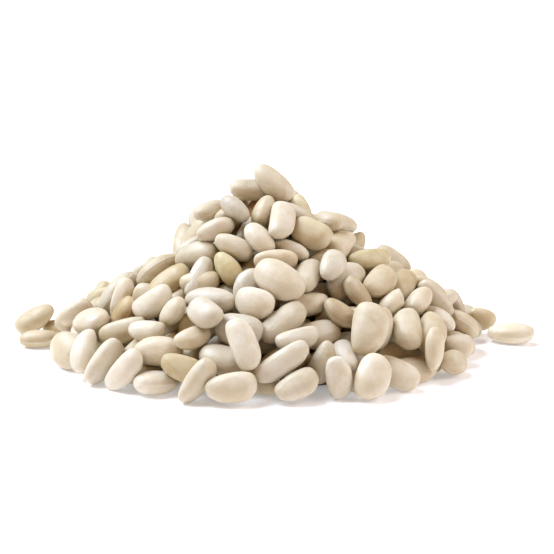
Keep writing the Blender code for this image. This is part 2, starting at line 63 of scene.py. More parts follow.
class Tint(Enum):
    """The shades of skin that are mixed in the heap, each with the name of its piece."""

    IVORY = "beans_ivory"
    CREAM = "beans_cream"
    BUFF = "beans_buff"
    PALE_GREY = "beans_pale_grey"
    YELLOWED = "beans_yellowed"
    TAN = "beans_tan"


TINT_SHARES = {
    Tint.IVORY: 0.31,
    Tint.CREAM: 0.33,
    Tint.BUFF: 0.22,
    Tint.PALE_GREY: 0.11,
    Tint.YELLOWED: 0.015,
    Tint.TAN: 0.015,
}


class Ends(Enum):
    """The two ends of a bean: how blunt they are, and how much wider the front one is."""

    BLUNT = (2.45, 0.0)
    EVEN = (2.1, 0.0)
    WIDE_FRONT = (2.15, 0.11)


class Seen(NamedTuple):
    """A bean that stands out in the front view.

    The middle, the length and the width are in pixels of the view, the heading of the
    long axis is in degrees up from level, and proud is how far the bean stands out of
    the mound, in millimetres. The tint and the ends, of which the front one lies towards
    the heading, are given where the view shows them well.
    """

    across: float
    down: float
    heading: float
    long: float
    wide: float
    proud: float
    tint: Tint | None = None
    ends: Ends | None = None


LOOSE = (
    Seen(517, 333, -15, 47, 27, 0, Tint.IVORY, Ends.WIDE_FRONT),
)

FRONT_ROW = (
    Seen(32, 337, 3, 42, 24, 0, Tint.BUFF),
    Seen(82, 343, -16, 46, 37, 0, Tint.CREAM, Ends.EVEN),
    Seen(101, 361, 62, 52, 24, 1, Tint.IVORY, Ends.WIDE_FRONT),
    Seen(135, 364, 30, 56, 27, 0, Tint.IVORY, Ends.WIDE_FRONT),
    Seen(195, 378, 71, 50, 24, 1, Tint.IVORY, Ends.WIDE_FRONT),
    Seen(229, 382, 10, 54, 33, 0, Tint.IVORY, Ends.WIDE_FRONT),
    Seen(294, 378, 15, 48, 30, 0, Tint.CREAM, Ends.WIDE_FRONT),
    Seen(335, 370, 109, 43, 29, 1, Tint.IVORY, Ends.EVEN),
    Seen(368, 374, 79, 47, 37, 1.5, Tint.IVORY, Ends.EVEN),
    Seen(400, 362, -35, 50, 31, 0, Tint.IVORY, Ends.WIDE_FRONT),
    Seen(418, 341, 79, 40, 17, 0, Tint.CREAM),
    Seen(444, 349, 7, 34, 28, 0, Tint.CREAM),
    Seen(451, 330, -4, 33, 29, 1, Tint.CREAM),
)

LEFT_FLANK = (
    Seen(28, 296, 20, 42, 25, 4, Tint.BUFF),
    Seen(46, 305, -11, 38, 22, 4, Tint.BUFF),
    Seen(79, 312, 48, 36, 22, 3),
    Seen(103, 295, 61, 34, 25, 0),
    Seen(130, 297, 95, 36, 24, 0, Tint.IVORY),
    Seen(98, 286, 9, 36, 20, -1),
    Seen(156, 299, 17, 48, 28, 1, Tint.IVORY, Ends.BLUNT),
    Seen(121, 324, 12, 51, 27, 1, Tint.CREAM, Ends.BLUNT),
    Seen(155, 329, 21, 36, 26, 0, Tint.IVORY),
    Seen(178, 311, 24, 40, 26, 0, Tint.IVORY),
    Seen(199, 279, 30, 42, 25, 0, Tint.CREAM),
    Seen(198, 268, 53, 48, 24, 1, Tint.IVORY),
    Seen(140, 265, 46, 36, 22, -1),
    Seen(150, 265, 41, 33, 20, 0),
)

FACE = (
    Seen(186, 359, -25, 42, 27, -1, Tint.BUFF),
    Seen(195, 334, 35, 42, 25, 1, Tint.CREAM),
    Seen(209, 317, -42, 38, 32, 2.5, Tint.IVORY, Ends.BLUNT),
    Seen(241, 340, 93, 53, 30, 3, Tint.IVORY, Ends.BLUNT),
    Seen(259, 301, 0, 43, 34, 1.5, Tint.IVORY, Ends.EVEN),
    Seen(275, 289, -35, 58, 42, 2, Tint.CREAM, Ends.EVEN),
    Seen(226, 266, -46, 29, 22, -1, Tint.YELLOWED, Ends.WIDE_FRONT),
    Seen(278, 314, 23, 55, 30, 0, Tint.CREAM, Ends.BLUNT),
    Seen(297, 335, 22, 46, 26, 2, Tint.IVORY, Ends.EVEN),
    Seen(283, 360, 42, 64, 27, 2, Tint.IVORY, Ends.BLUNT),
    Seen(327, 358, 53, 44, 27, -1, Tint.PALE_GREY),
    Seen(335, 315, -5, 41, 25, 0, Tint.TAN),
    Seen(351, 289, -44, 41, 24, 0, Tint.BUFF),
    Seen(332, 270, 56, 31, 27, 2, Tint.IVORY),
    Seen(363, 331, 49, 51, 38, 1.5, Tint.CREAM, Ends.WIDE_FRONT),
    Seen(277, 260, 27, 46, 22, -1, Tint.CREAM),
    Seen(292, 248, -62, 30, 18, 0, Tint.IVORY),
)

CREST = (
    Seen(272, 183, -58, 46, 28, 3, Tint.CREAM, Ends.EVEN),
    Seen(250, 184, 10, 42, 24, 1, Tint.IVORY, Ends.BLUNT),
    Seen(295, 208, -60, 34, 20, -3),
    Seen(265, 213, 66, 34, 22, -1),
    Seen(241, 211, -17, 28, 21, 1, Tint.PALE_GREY),
    Seen(282, 226, 88, 44, 29, 3, Tint.IVORY, Ends.BLUNT),
    Seen(252, 241, -50, 32, 28, 2, Tint.IVORY, Ends.EVEN),
    Seen(312, 232, -43, 42, 34, 1, Tint.BUFF, Ends.BLUNT),
    Seen(209, 216, 50, 42, 24, 0, Tint.CREAM),
    Seen(218, 235, 29, 41, 22, 1, Tint.CREAM),
    Seen(187, 235, 115, 32, 22, -1),
    Seen(231, 253, -3, 42, 22, 0, Tint.IVORY),
    Seen(341, 218, 7, 34, 22, -1),
    Seen(349, 239, 17, 43, 24, 1, Tint.BUFF),
)

RIGHT_FLANK = (
    Seen(364, 263, 41, 42, 24, 0, Tint.YELLOWED),
    Seen(376, 283, 42, 46, 30, 0, Tint.BUFF),
    Seen(392, 264, -38, 42, 26, -1, Tint.PALE_GREY),
    Seen(389, 299, 48, 30, 20, 0, Tint.CREAM),
    Seen(408, 299, 34, 34, 22, 0, Tint.CREAM),
    Seen(416, 286, -16, 40, 22, 0, Tint.BUFF),
    Seen(427, 301, -64, 44, 20, 0, Tint.IVORY),
    Seen(453, 299, -41, 36, 19, 0),
    Seen(461, 314, -15, 41, 26, 0, Tint.PALE_GREY),
    Seen(473, 307, -19, 30, 20, -1),
    Seen(401, 326, -71, 48, 31, 1, Tint.PALE_GREY, Ends.BLUNT),
)

SEEN_BEANS = LOOSE + FRONT_ROW + LEFT_FLANK + FACE + CREST + RIGHT_FLANK
CHIPPED = SEEN_BEANS.index(RIGHT_FLANK[3])


def linear(hex_colour: str) -> tuple[float, float, float, float]:
    """Turn an sRGB hex colour into linear values.

    Args:
        hex_colour: Six hex digits, red first.

    Returns:
        Red, green, blue and an alpha of 1.
    """
    shares = [int(hex_colour[start:start + 2], 16) / 255 for start in (0, 2, 4)]
    light = [s / 12.92 if s <= 0.04045 else ((s + 0.055) / 1.055) ** 2.4 for s in shares]
    return (light[0], light[1], light[2], 1.0)


def add_node(tree: bpy.types.NodeTree, kind: str, inputs: dict | None = None,
             **settings: object) -> bpy.types.Node:
    """Add a node with its settings and its inputs.

    Args:
        tree: The node tree that gets the node.
        kind: Blender's name of the node's type.
        inputs: For each input's name or number a value, or the output that feeds it.
        settings: The node's own settings.

    Returns:
        The new node.
    """
    node = tree.nodes.new(kind)
    for name, value in settings.items():
        setattr(node, name, value)
    for socket, value in (inputs or {}).items():
        if isinstance(value, bpy.types.NodeSocket):
            tree.links.new(value, node.inputs[socket])
        else:
            node.inputs[socket].default_value = value
    return node


def new_object(name: str, bm: bmesh.types.BMesh) -> bpy.types.Object:
    """Put a bmesh into the scene as an object at the origin.

    Args:
        name: The object's name.
        bm: The mesh, which is used up.

    Returns:
        The new object, shaded smooth.
    """
    mesh = bpy.data.meshes.new(name)
    bm.to_mesh(mesh)
    bm.free()
    mesh.shade_smooth()
    piece = bpy.data.objects.new(name, mesh)
    bpy.context.scene.collection.objects.link(piece)
    return piece


class Hollow(NamedTuple):
    """A shallow hollow in the mound: its middle, radius and depth."""

    x: float
    y: float
    radius: float
    depth: float


@dataclass(frozen=True)
class Mound:
    """The cone with a rounded tip that the heap fills.

    The reaches go from the apex to the foot, and tip_rounding is how far the tip is
    rounded off, as a share of the reach. The hollows make the flanks uneven.
    """

    height: float = 60.0 * MM
    left_reach: float = 77.0 * MM
    right_reach: float = 84.0 * MM
    deep_reach: float = 75.0 * MM
    apex: tuple[float, float] = (-1.5 * MM, 0.0)
    tip_rounding: float = 0.05
    hollows: tuple[Hollow, ...] = (
        Hollow(-36.0 * MM, 2.0 * MM, 13.0 * MM, 5.0 * MM),
        Hollow(24.0 * MM, 4.0 * MM, 11.0 * MM, 4.5 * MM),
    )

    def side_reach(self, x: np.ndarray) -> np.ndarray:
        """The mound's reach to the left or to the right, by the sign of x."""
        return np.where(x < 0, self.left_reach, self.right_reach)

    def top(self, x: np.ndarray, y: np.ndarray, share: float) -> Pairs:
        """Find the surface of the mound, scaled by a share.

        Args:
            x: Places across.
            y: Places along the depth.
            share: The scale, 1 for the whole mound.

        Returns:
            The height over the floor and the outward normal at each place.
        """
        reach_x = self.side_reach(x - self.apex[0]) * share
        reach_y = self.deep_reach * share
        across = (x - self.apex[0]) / reach_x
        along = (y - self.apex[1]) / reach_y
        out = np.sqrt(across**2 + along**2 + self.tip_rounding**2)
        slope = self.height * share / out
        normal = np.stack([slope * across / reach_x, slope * along / reach_y, np.ones_like(out)], -1)
        normal /= np.linalg.norm(normal, axis=-1, keepdims=True)
        height = self.height * share * (1 - out)
        for hollow in self.hollows:
            away = ((x - hollow.x) ** 2 + (y - hollow.y) ** 2) / hollow.radius**2
            height = height - hollow.depth * np.exp(-away)
        return height, normal


@dataclass(frozen=True)
class BeanForm:
    """The plain form of a bean: its middling size, its blunt ends and its curve.

    A bluntness of 2 gives an ellipse, and more gives blunter ends. A bean's size varies
    by size_spread between the smallest and the largest, and its length, width and
    thickness each vary by form_spread besides.
    """

    length: float = 15.0 * MM
    width: float = 8.9 * MM
    thickness: float = 6.7 * MM
    bluntness: float = 2.35
    least_bend: float = 0.3 * MM
    most_bend: float = 1.1 * MM
    size_spread: float = 0.09
    smallest: float = 0.80
    largest: float = 1.20
    form_spread: float = 0.07

    def surface(self, unit: np.ndarray, half: np.ndarray, bend: np.ndarray) -> np.ndarray:
        """Move points of a unit sphere to the surface of each bean.

        Args:
            unit: Points of the sphere, one a row.
            half: Half of each bean's length, width and thickness.
            bend: How far each bean's ends curve aside.

        Returns:
            The points of every bean, in its own axes.
        """
        girth = np.sqrt(np.maximum(1 - unit[:, 0] ** 2, TINY))
        along = np.sign(unit[:, 0]) * np.abs(unit[:, 0]) ** (2 / self.bluntness)
        fuller = girth ** (2 / self.bluntness) / girth
        x = half[:, None, 0] * along
        y = half[:, None, 1] * fuller * unit[:, 1] + bend[:, None] * (along**2 - 1 / 3)
        z = half[:, None, 2] * fuller * unit[:, 2]
        return np.stack([x, y, z], -1)

    def depth(self, local: np.ndarray, half: np.ndarray, bend: np.ndarray) -> Pairs:
        """Find how deep points lie in a bean.

        Args:
            local: Points in the axes of the bean that each may lie in, one a row.
            half: Half sizes of that bean.
            bend: Its bend.

        Returns:
            The depth of each point, and the way out in the bean's own axes.
        """
        x = local[:, 0] / half[:, 0]
        y = (local[:, 1] - bend * (x**2 - 1 / 3)) / half[:, 1]
        z = local[:, 2] / half[:, 2]
        girth = np.sqrt(y**2 + z**2 + TINY)
        along = np.abs(x) + SLIGHT
        size = (along**self.bluntness + girth**self.bluntness) ** (1 / self.bluntness)
        rise_x = (along / size) ** (self.bluntness - 1) * np.sign(x) / half[:, 0]
        rise_out = (girth / size) ** (self.bluntness - 1) / girth
        rise = np.stack([rise_x, rise_out * y / half[:, 1], rise_out * z / half[:, 2]], -1)
        steepness = np.linalg.norm(rise, axis=1)
        return (1 - size) / steepness, rise / steepness[:, None]


def spiral_points(count: int) -> np.ndarray:
    """Spread points evenly over a sphere of radius 1, along a spiral.

    Args:
        count: How many points.

    Returns:
        The points, one a row.
    """
    step = np.arange(count) + 0.5
    polar = np.arccos(1 - 2 * step / count)
    turn = math.pi * (1 + math.sqrt(5)) * step
    return np.stack([np.cos(polar), np.sin(polar) * np.cos(turn), np.sin(polar) * np.sin(turn)], -1)


def axes_of(along: np.ndarray, face: np.ndarray) -> np.ndarray:
    """Make a bean's axes from its long axis and the way its flat side faces.

    Args:
        along: The long axis, not yet square to the face.
        face: The way of the flat side.

    Returns:
        The length, width and thickness axes as columns.
    """
    face = face / np.linalg.norm(face)
    along = along - face * (along @ face)
    along = along / np.linalg.norm(along)
    return np.stack([along, np.cross(face, along), face], -1)


@dataclass
class Beans:
    """Beans that lie in a pile, one row each.

    Turn holds each bean's length, width and thickness axes as columns, half is half of
    those sizes, bend is how far the ends curve aside, and freedom is 1 for a bean that
    is easily pushed aside and less for one that keeps its place.
    """

    form: BeanForm
    centre: np.ndarray
    turn: np.ndarray
    half: np.ndarray
    bend: np.ndarray
    freedom: np.ndarray

    def place(self, local: np.ndarray) -> np.ndarray:
        """Points given in each bean's own axes, moved to where the bean lies."""
        return self.centre[:, None] + np.einsum("nij,nkj->nki", self.turn, local)

    def surface(self, unit: np.ndarray) -> np.ndarray:
        """Points of a unit sphere moved to the surface of every bean."""
        return self.place(self.form.surface(unit, self.half, self.bend))


@dataclass(frozen=True)
class FrontView:
    """The front view, a square of 554 pixels taken from a little above.

    A bean is looked for along the ray through its pixel, in steps, between the nearest
    and the furthest share of the distance, and no further back than behind_apex. Its
    flat side turns by the share facing from the mound's surface towards the viewer.
    Where the mound is lower than flat_foot it lies by foot_normal, as on the floor. One
    that looks narrower than on_edge_width lies on its edge.
    """

    aim: tuple[float, float, float] = (3.0 * MM, 0.0, 22.6 * MM)
    distance: float = 456.0 * MM
    rise: float = math.radians(12.5)
    focal_px: float = 1415.0
    middle_px: float = 277.0
    nearest: float = 0.7
    furthest: float = 1.3
    step: float = 0.2 * MM
    behind_apex: float = 12.0 * MM
    facing: float = 0.4
    flat_foot: float = 6.0 * MM
    foot_normal: tuple[float, float, float] = (0.0, -0.25, 0.97)
    seen_length: tuple[float, float] = (12.0 * MM, 18.5 * MM)
    seen_width: float = 11.5 * MM
    on_edge_width: float = 7.2 * MM
    least_thickness: float = 5.6 * MM
    thickness_share: float = 0.75

    def axes(self) -> Placed:
        """Find the directions of the view.

        Returns:
            The ways right, up and ahead.
        """
        ahead = np.array([0.0, math.cos(self.rise), -math.sin(self.rise)])
        right = np.array([1.0, 0.0, 0.0])
        return right, np.cross(right, ahead), ahead

    def bean(self, seen: Seen, mound: Mound, form: BeanForm) -> Placed:
        """Set a bean on the mound where the view shows it.

        Args:
            seen: The bean as the view shows it.
            mound: The mound that it lies on.
            form: The middling bean.

        Returns:
            The bean's middle, its axes as columns and its half sizes.
        """
        right, up, ahead = self.axes()
        ray = (ahead + right * (seen.across - self.middle_px) / self.focal_px
               + up * (self.middle_px - seen.down) / self.focal_px)
        reach = np.arange(self.nearest * self.distance, self.furthest * self.distance, self.step)
        points = np.array(self.aim) - ahead * self.distance + ray * reach[:, None]
        reach = reach[points[:, 1] < self.behind_apex]
        points = points[points[:, 1] < self.behind_apex]

        proud = seen.proud * MM
        height, normals = mound.top(points[:, 0], points[:, 1], 1.0)
        on_mound = height - (form.thickness / 2 - proud) / normals[:, 2]
        clear = points[:, 2] - np.maximum(on_mound, form.thickness / 2 + proud)
        inside = np.nonzero(clear < 0)[0]
        first = inside[0] if len(inside) else int(np.argmin(clear))
        normal = normals[first]
        if height[first] < self.flat_foot:
            normal = np.array(self.foot_normal)

        face = normal * (1 - self.facing) - ahead * self.facing
        face /= np.linalg.norm(face)
        heading = math.radians(seen.heading)
        along = right * math.cos(heading) + up * math.sin(heading)
        along = along - ahead * ((face @ along) / (face @ ahead))
        size_of_pixel = reach[first] / self.focal_px
        length = seen.long * size_of_pixel * np.linalg.norm(along)
        length = min(max(length, self.seen_length[0]), self.seen_length[1])
        width = min(seen.wide * size_of_pixel, self.seen_width)
        thickness = width * self.thickness_share
        if width < self.on_edge_width:
            thickness = max(width, self.least_thickness)
            width = thickness / self.thickness_share
            face = np.cross(along, face)
        return points[first], axes_of(along, face), np.array([length, width, thickness]) / 2


class Contacts(NamedTuple):
    """Points of one bean, the owner, that lie in another bean or in the ground."""

    owner: np.ndarray
    other: np.ndarray
    depth: np.ndarray
    way: np.ndarray
    at: np.ndarray


class Round(NamedTuple):
    """One round of scattering and settling."""

    tries: int
    steps: int
    pull: float


@dataclass(frozen=True)
class Settling:
    """The rule by which the beans are scattered over the mound and come to rest.

    Fillers are dropped out to the share foot of the mound's reach, which waves by
    foot_wave, with their middles at least the spacing apart. Shell, lowest_middle and
    over_inner are in thicknesses of a bean: how deep under the surface a filler lies,
    and its least height over the floor and over the inner mound, whose size is
    inner_share of the mound's. The flat side tilts by tilt_spread.

    At each step a bean that touches something is drawn in by the pull, which eases off
    over ease_share of the steps and points down by the share downward, and one that
    touches nothing moves by the fall. Those nearer than near are pairs, found anew every
    pair_steps steps. Each bean is tested at its touch_points, is pushed over_push times
    as far as asked, turns by no more than most_turn, and has its place rounded to a
    number of decimals. The ground has a number of its own among the beans.
    """

    mound: Mound = Mound()
    form: BeanForm = BeanForm()
    view: FrontView = FrontView()
    seed: int = 7
    inner_share: float = 0.70
    foot: float = 0.80
    foot_wave: float = 0.045
    spacing: float = 7.7 * MM
    shell: tuple[float, float] = (0.45, 2.3)
    lowest_middle: float = 0.45
    over_inner: float = 0.30
    tilt_spread: tuple[float, float, float] = (0.35, 0.35, 0.25)
    seen_freedom: float = 0.35
    rounds: tuple[Round, ...] = (Round(16000, 160, 0.12 * MM), Round(9000, 80, 0.03 * MM))
    fall: float = 0.25 * MM
    downward: float = 0.4
    pair_steps: int = 8
    near: float = 1.0 * MM
    touch_points: int = 40
    over_push: float = 1.3
    most_turn: float = 0.12
    ease_share: float = 0.8
    decimals: int = 7
    ground: int = -1

    def filler(self, rng: random.Random, waves: list[float]) -> Placed:
        """Drop a bean anywhere in the heap's outer shell.

        Args:
            rng: The source of chance.
            waves: Where the two waves of the heap's foot begin.

        Returns:
            The bean's middle, its axes as columns and its half sizes.
        """
        angle = rng.uniform(0, math.tau)
        wave = (math.sin(3 * angle + waves[0]) + math.sin(5 * angle + waves[1])) / 2
        out = (self.foot + self.foot_wave * wave) * math.sqrt(rng.random())
        apex, form = self.mound.apex, self.form
        x = apex[0] + float(self.mound.side_reach(math.cos(angle))) * out * math.cos(angle)
        y = apex[1] + self.mound.deep_reach * out * math.sin(angle)
        height, normal = self.mound.top(np.array(x), np.array(y), 1.0)
        centre = np.array([x, y, float(height)]) - normal * rng.uniform(*self.shell) * form.thickness

        size = min(max(rng.gauss(1, form.size_spread), form.smallest), form.largest)
        shape = [size * rng.uniform(1 - form.form_spread, 1 + form.form_spread) for _ in range(3)]
        half = np.array([form.length, form.width, form.thickness]) / 2 * np.array(shape)
        face = normal + np.array([rng.gauss(0, spread) for spread in self.tilt_spread])
        heading = rng.uniform(0, math.tau)
        along = np.array([math.cos(heading), math.sin(heading), 0.0])
        return centre, axes_of(along, face), half

    def scatter(self, beans: Beans, rng: random.Random, tries: int) -> Beans:
        """Add beans wherever there is room for one.

        Args:
            beans: The beans that are there.
            rng: The source of chance.
            tries: How often a bean is dropped.

        Returns:
            The beans with the new ones after them.
        """
        centre, turn, half = list(beans.centre), list(beans.turn), list(beans.half)
        bend, freedom = list(beans.bend), list(beans.freedom)
        waves = [rng.uniform(0, math.tau) for _ in range(2)]
        thickness = self.form.thickness
        for _ in range(tries):
            place, axes, sizes = self.filler(rng, waves)
            inner = self.mound.top(place[0], place[1], self.inner_share)[0]
            if place[2] < max(self.lowest_middle * thickness, inner + self.over_inner * thickness):
                continue
            if np.linalg.norm(np.array(centre) - place, axis=1).min() < self.spacing:
                continue
            centre.append(place)
            turn.append(axes)
            half.append(sizes)
            bend.append(rng.uniform(self.form.least_bend, self.form.most_bend))
            freedom.append(1.0)
        return Beans(self.form, *(np.array(rows) for rows in (centre, turn, half, bend, freedom)))

    def near_pairs(self, beans: Beans) -> Pairs:
        """Find the beans that are near enough to touch within a few steps.

        Args:
            beans: The pile.

        Returns:
            The numbers of the first and of the second bean of each pair.
        """
        gap = np.linalg.norm(beans.centre[:, None] - beans.centre[None], axis=2)
        length = beans.half[:, 0]
        return np.nonzero((gap < length[:, None] + length[None] + self.near) & (gap > 0))

    def bean_contacts(self, beans: Beans, world: np.ndarray, pairs: Pairs) -> Contacts:
        """Find surface points of beans that lie in a neighbour.

        Args:
            beans: The pile.
            world: The surface points of every bean.
            pairs: The beans that are near each other.

        Returns:
            The contacts between beans.
        """
        owner, other = pairs
        local = np.einsum("pki,pij->pkj", world[owner] - beans.centre[other][:, None], beans.turn[other])
        reach = beans.half[other][:, None] + np.array([0.0, self.form.most_bend, 0.0])
        pair, point = np.nonzero((np.abs(local) < reach).all(2))
        owner, other = owner[pair], other[pair]
        depth, way = self.form.depth(local[pair, point], beans.half[other], beans.bend[other])
        way = np.einsum("pij,pj->pi", beans.turn[other], way)
        hit = depth > 0
        return Contacts(owner[hit], other[hit], depth[hit], way[hit], world[owner, point][hit])

    def ground_contacts(self, world: np.ndarray) -> Contacts:
        """Find surface points of beans that lie in the inner mound or under the floor.

        Args:
            world: The surface points of every bean.

        Returns:
            The contacts with the ground.
        """
        height, normal = self.mound.top(world[..., 0], world[..., 1], self.inner_share)
        in_mound = (height - world[..., 2]) * normal[..., 2]
        bean, point = np.nonzero(in_mound > 0)
        low_bean, low_point = np.nonzero(world[..., 2] < 0)
        owner = np.concatenate([bean, low_bean])
        depth = np.concatenate([in_mound[bean, point], -world[low_bean, low_point, 2]])
        way = np.concatenate([normal[bean, point], np.tile([0.0, 0.0, 1.0], (len(low_bean), 1))])
        at = np.concatenate([world[bean, point], world[low_bean, low_point]])
        return Contacts(owner, np.full(len(owner), self.ground), depth, way, at)

    @staticmethod
    def summed(who: np.ndarray, values: np.ndarray, count: int) -> np.ndarray:
        """Rows of values added up for each bean."""
        return np.stack([np.bincount(who, column, count) for column in values.T], -1)

    @staticmethod
    def turned(turn: np.ndarray, spin: np.ndarray) -> np.ndarray:
        """Turn axes by small rotation vectors and keep them square to each other.

        Args:
            turn: Each bean's axes as columns.
            spin: Each bean's rotation vector.

        Returns:
            The turned axes.
        """
        angle = np.linalg.norm(spin, axis=1, keepdims=True)
        pivot = spin / np.maximum(angle, TINY)
        cos, sin = np.cos(angle), np.sin(angle)
        columns = []
        for column in (turn[:, :, 0], turn[:, :, 1]):
            along = (pivot * column).sum(1, keepdims=True)
            columns.append(column * cos + np.cross(pivot, column) * sin + pivot * along * (1 - cos))
        long, wide = columns
        long = long / np.linalg.norm(long, axis=1, keepdims=True)
        wide = wide - long * (long * wide).sum(1, keepdims=True)
        wide = wide / np.linalg.norm(wide, axis=1, keepdims=True)
        return np.stack([long, wide, np.cross(long, wide)], -1)

    def push_apart(self, beans: Beans, contacts: Contacts) -> np.ndarray:
        """Move and turn each bean by the mean of what its contacts ask, deep ones the most.

        Args:
            beans: The pile, which is changed.
            contacts: Every contact between beans and with the ground.

        Returns:
            Which beans touch anything.
        """
        count = len(beans.centre)
        squares = beans.half**2
        inertia = (squares.sum(1, keepdims=True) - squares) / 5
        among = contacts.other != self.ground
        sides = []
        give = np.zeros(len(among))
        for who, sign, real in ((contacts.owner, 1.0, np.ones(len(among))),
                                (np.where(among, contacts.other, 0), -1.0, among.astype(float))):
            moment = np.cross(contacts.at - beans.centre[who], contacts.way)
            eased = np.einsum("pij,pi->pj", beans.turn[who], moment) / inertia[who]
            spin = np.einsum("pij,pj->pi", beans.turn[who], eased)
            ease = beans.freedom[who] * real
            give += (1 + (moment * spin).sum(1)) * ease
            sides.append((who, sign * ease, spin, contacts.depth * real))

        move = np.zeros((count, 3))
        spins = np.zeros((count, 3))
        weight = np.full(count, TINY)
        for who, ease, spin, depth in sides:
            amount = (contacts.depth / give * ease * depth)[:, None]
            move += self.summed(who, contacts.way * amount, count)
            spins += self.summed(who, spin * amount, count)
            weight += np.bincount(who, depth, count)
        move *= self.over_push / weight[:, None]
        spins *= self.over_push / weight[:, None]
        size = np.linalg.norm(spins, axis=1, keepdims=True)
        spins *= np.minimum(1, self.most_turn / np.maximum(size, SLIGHT))
        beans.centre = np.round(beans.centre + move, self.decimals)
        beans.turn = np.round(self.turned(beans.turn, spins), self.decimals)
        return weight > SLIGHT

    def settle(self, beans: Beans, steps: int, pull: float) -> None:
        """Draw the beans down onto the heap and push them apart until they rest.

        Args:
            beans: The pile, which is changed.
            steps: How many steps are taken.
            pull: How far the first step draws a bean.
        """
        unit = spiral_points(self.touch_points)
        held = np.ones(len(beans.centre), bool)
        pairs = self.near_pairs(beans)
        for step in range(steps):
            normal = self.mound.top(beans.centre[:, 0], beans.centre[:, 1], 1.0)[1]
            inward = normal * (1 - self.downward) + np.array([0.0, 0.0, self.downward])
            inward /= np.linalg.norm(inward, axis=1, keepdims=True)
            ease = max(0.0, 1 - step / (self.ease_share * steps))
            drop = np.where(held, pull * ease * beans.freedom, self.fall)
            beans.centre = beans.centre - inward * drop[:, None]
            if step % self.pair_steps == 0:
                pairs = self.near_pairs(beans)
            world = beans.surface(unit)
            found = zip(self.bean_contacts(beans, world, pairs), self.ground_contacts(world))
            held = self.push_apart(beans, Contacts(*(np.concatenate(both) for both in found)))

    def settled(self) -> Beans:
        """Scatter and settle all the beans.

        Returns:
            The beans at rest, those of SEEN_BEANS first and in that order.
        """
        rng = random.Random(self.seed)
        placed = [self.view.bean(seen, self.mound, self.form) for seen in SEEN_BEANS]
        centre, turn, half = map(np.array, zip(*placed))
        bend = np.array([rng.uniform(self.form.least_bend, self.form.most_bend) for _ in SEEN_BEANS])
        beans = Beans(self.form, centre, turn, half, bend, np.full(len(SEEN_BEANS), self.seen_freedom))
        for tries, steps, pull in self.rounds:
            beans = self.scatter(beans, rng, tries)
            self.settle(beans, steps, pull)
        return beans


class Ease(NamedTuple):
    """A smooth passage of a value out of one range into another, which it never leaves."""

    low: float
    high: float
    to_low: float = 0.0
    to_high: float = 1.0

    def inputs(self, value: bpy.types.NodeSocket) -> dict:
        """The inputs that a Map Range node takes to ease the value."""
        return {"Value": value, "From Min": self.low, "From Max": self.high,
                "To Min": self.to_low, "To Max": self.to_high}


class Grain(NamedTuple):
    """A noise pattern: about how wide its patches are, how many finer layers lie on it, how strong."""

    patch_mm: float
    layers: float
    strength: float = 0.55

    def inputs(self, place_mm: bpy.types.NodeSocket) -> dict:
        """The inputs that a Noise Texture node takes to draw the pattern."""
        return {"Vector": place_mm, "Scale": 1 / self.patch_mm, "Detail": self.layers,
                "Roughness": self.strength}


